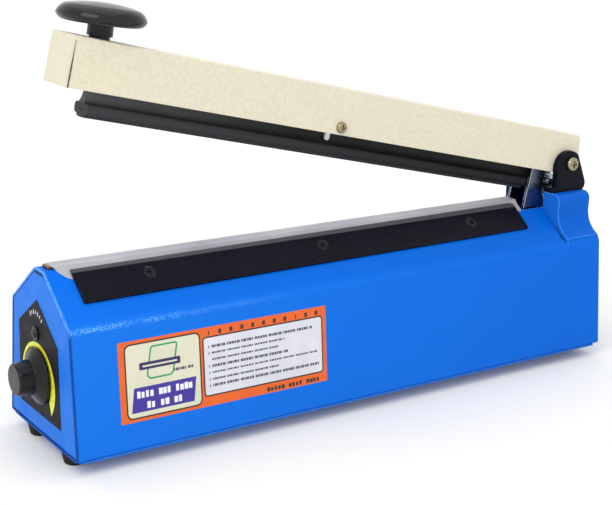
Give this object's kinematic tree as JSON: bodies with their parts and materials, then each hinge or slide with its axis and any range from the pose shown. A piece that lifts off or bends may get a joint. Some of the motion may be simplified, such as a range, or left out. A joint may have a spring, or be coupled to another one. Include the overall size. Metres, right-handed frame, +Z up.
{
  "type": "impulse heat sealer",
  "caption": "Hand-operated impulse heat sealer with a hinged sealing arm over a cloth-covered heating bed, an end-mounted timer dial and a mushroom handle.",
  "frame": {"origin": "on the table surface, under the middle of the bounding box as seen from above", "axes": "+X from the control end to the hinge end, -Y the side with the instruction label, +Z up"},
  "size_m": [0.4256, 0.0936, 0.2549],
  "materials": {
    "housing_paint": "semi-gloss blue powder coat",
    "cream_paint": "hammered cream paint",
    "black_metal": "satin black paint",
    "zinc_steel": "zinc-plated steel",
    "black_screw": "blackened steel screws",
    "rubber_black": "matt black rubber",
    "silicone_dark": "dark silicone rubber",
    "glossy_black": "glossy black moulded plastic",
    "matte_black": "satin black moulded plastic",
    "lamp_lens": "smoked indicator lens",
    "panel_print": "dark printed film with a yellow scale",
    "label_print": "printed film label",
    "cloth_white": "greyish white PTFE-coated glass cloth",
    "element_alloy": "nickel-chrome ribbon",
    "bed_board": "brown phenolic board",
    "tape_tan": "tan glass-cloth tape",
    "brass_part": "brass",
    "nylon_white": "natural nylon",
    "core_steel": "varnished laminated steel",
    "coil_wrap": "yellow coil tape",
    "board_green": "green circuit board",
    "part_blue": "blue relay case",
    "capacitor_dark": "dark sleeved capacitors",
    "lead_red": "red insulated lead",
    "spring_steel": "spring steel"
  },
  "bodies": {
    "base": {"housing_shell": "housing_paint", "control_end_plate": "housing_paint", "hinge_end_plate": "housing_paint", "base_plate": "housing_paint", "base_screws": "black_screw", "foot_screws": "zinc_steel", "rubber_feet": "rubber_black", "cord_gland": "matte_black", "gland_nut": "matte_black", "sealing_bed": "bed_board", "bed_tape": "tape_tan", "heating_element": "element_alloy", "element_terminals": "brass_part", "terminal_bushes": "nylon_white", "terminal_nuts": "zinc_steel", "release_cloth": "cloth_white", "clamp_strip_front": "black_metal", "clamp_strip_rear": "black_metal", "clamp_screws": "black_screw", "instruction_label": "label_print", "panel_label": "panel_print", "indicator_bezel": "matte_black", "indicator_lamp": "lamp_lens", "potentiometer": "zinc_steel", "potentiometer_nut": "zinc_steel", "hinge_bracket": "black_metal", "bracket_screws": "zinc_steel", "bracket_nuts": "zinc_steel", "pivot_bolt": "zinc_steel", "pivot_nut": "zinc_steel", "return_spring": "spring_steel", "spring_anchor": "zinc_steel", "switch_body": "matte_black", "switch_bracket": "zinc_steel", "switch_screws": "zinc_steel", "transformer_core": "core_steel", "transformer_bobbin": "nylon_white", "transformer_coil": "coil_wrap", "transformer_strap": "zinc_steel", "chassis_screws": "zinc_steel", "timer_board": "board_green", "board_supports": "nylon_white", "timer_relay": "part_blue", "board_capacitors": "capacitor_dark", "buzzer": "matte_black", "element_leads": "lead_red"},
    "arm": {"arm_cover": "cream_paint", "lever_bracket": "zinc_steel", "pivot_bush": "zinc_steel", "jaw_holder": "black_metal", "rubber_strip": "silicone_dark", "jaw_spacers": "zinc_steel", "jaw_screw": "zinc_steel", "jaw_nut": "zinc_steel", "spring_pin": "zinc_steel", "handle_knob": "glossy_black", "handle_screw": "zinc_steel"},
    "timer_dial": {"timer_knob": "matte_black", "timer_shaft": "zinc_steel"},
    "switch_lever": {"switch_leaf": "spring_steel"}
  },
  "joints": [
    {"name": "arm_hinge", "type": "hinge", "parent": "base", "child": "arm", "pos_m": [0.1903, 0, 0.13455], "axis": [0, 1, 0], "range_deg": [-12.8, 0], "stiffness_Nm_per_rad": 7, "springref_deg": 18.33, "deforming": ["return_spring"]},
    {"name": "timer_dial_turn", "type": "hinge", "parent": "base", "child": "timer_dial", "pos_m": [-0.197, 0.002, 0.0452], "axis": [-1, 0, 0], "range_deg": [-60, 240]},
    {"name": "switch_lever_pivot", "type": "hinge", "parent": "base", "child": "switch_lever", "pos_m": [0.1812, 0.008, 0.062], "axis": [0, 1, 0], "range_deg": [0, 19.2]}
  ],
  "couplings": [
    {"joint": "switch_lever_pivot", "follows": "arm_hinge", "ratio": -1.5}
  ]
}
